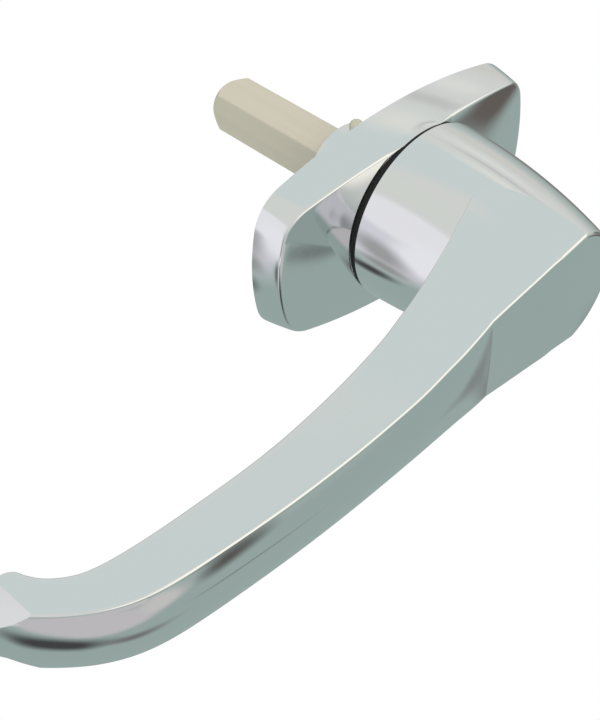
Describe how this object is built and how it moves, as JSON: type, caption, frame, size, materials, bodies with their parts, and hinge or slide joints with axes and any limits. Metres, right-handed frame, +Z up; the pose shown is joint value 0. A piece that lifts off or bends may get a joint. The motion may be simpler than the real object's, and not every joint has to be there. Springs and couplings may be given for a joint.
{
  "type": "cam latch handle",
  "caption": "Quarter-turn door latch handle: curved lever on a tapered hub, scooped oblong escutcheon, square spindle to drive a cam or lock.",
  "frame": {"origin": "on the spindle's axis in the plane of the door's outer face, which is the back of the escutcheon", "axes": "+Y into the door along the spindle, -Y is the front, +Z up, the lever points to -X at rest"},
  "size_m": [0.1402, 0.0852, 0.035],
  "materials": {
    "chrome_casting": "bright plated",
    "nickel_steel": "zinc-nickel plated, satin, faintly yellow",
    "plain_steel": "bright steel",
    "black_nylon": "matt black",
    "black_rubber": "matt black"
  },
  "bodies": {
    "base": {"escutcheon": "chrome_casting", "bearing_bush": "black_nylon", "base_gasket": "black_rubber"},
    "handle": {"lever_handle": "chrome_casting", "spindle": "nickel_steel", "cross_pin": "nickel_steel", "stop_pin": "plain_steel", "shank_seal": "black_rubber", "spring_washer": "plain_steel", "thrust_washer": "plain_steel"}
  },
  "joints": [
    {"name": "handle_turn", "type": "hinge", "parent": "base", "child": "handle", "pos_m": [0, 0, 0], "axis": [0, -1, 0], "range_deg": [0, 90]}
  ]
}
